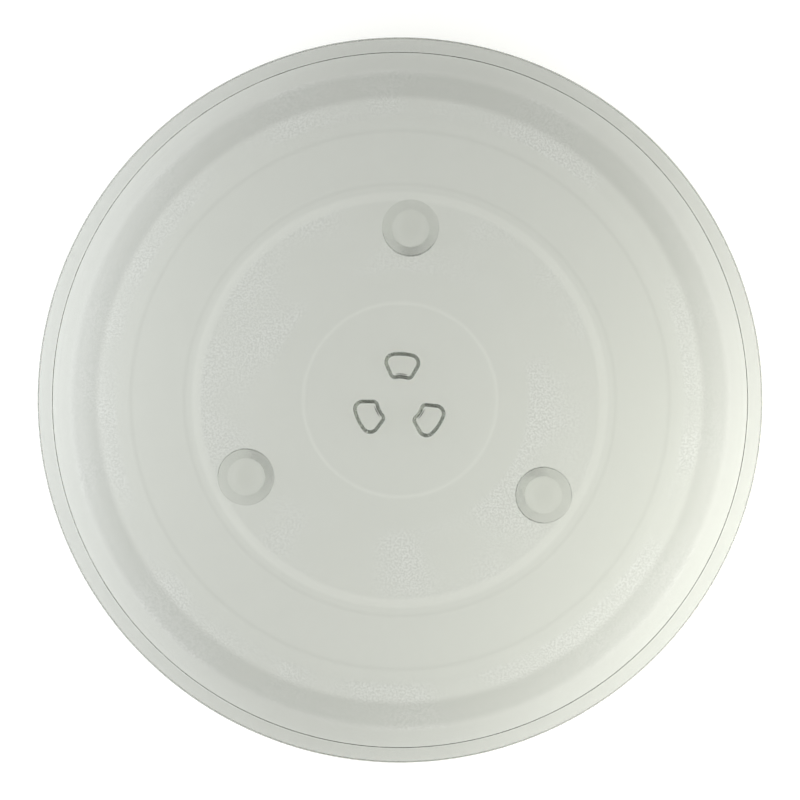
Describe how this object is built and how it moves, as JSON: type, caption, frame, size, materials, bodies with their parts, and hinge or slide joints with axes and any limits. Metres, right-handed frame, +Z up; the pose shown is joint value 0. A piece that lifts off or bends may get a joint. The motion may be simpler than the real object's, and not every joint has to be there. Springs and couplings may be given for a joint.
{
  "type": "microwave turntable plate",
  "caption": "Shallow round clear glass dish with a raised rim, a smooth roller track and drive lugs and feet moulded on its underside.",
  "frame": {"origin": "on the spindle axis, in the plane that the feet stand on", "axes": "+Z up along the spindle axis, out of the dish; one foot and one drive lug lie towards +Y"},
  "size_m": [0.255, 0.255, 0.0148],
  "materials": {
    "pressed_glass": "clear pressed soda-lime glass with a faint grey-green tint, fire-polished smooth on top, with a fine stippled relief in two rings of the underside"
  },
  "bodies": {
    "root": {"turntable_plate": "pressed_glass"}
  },
  "joints": []
}
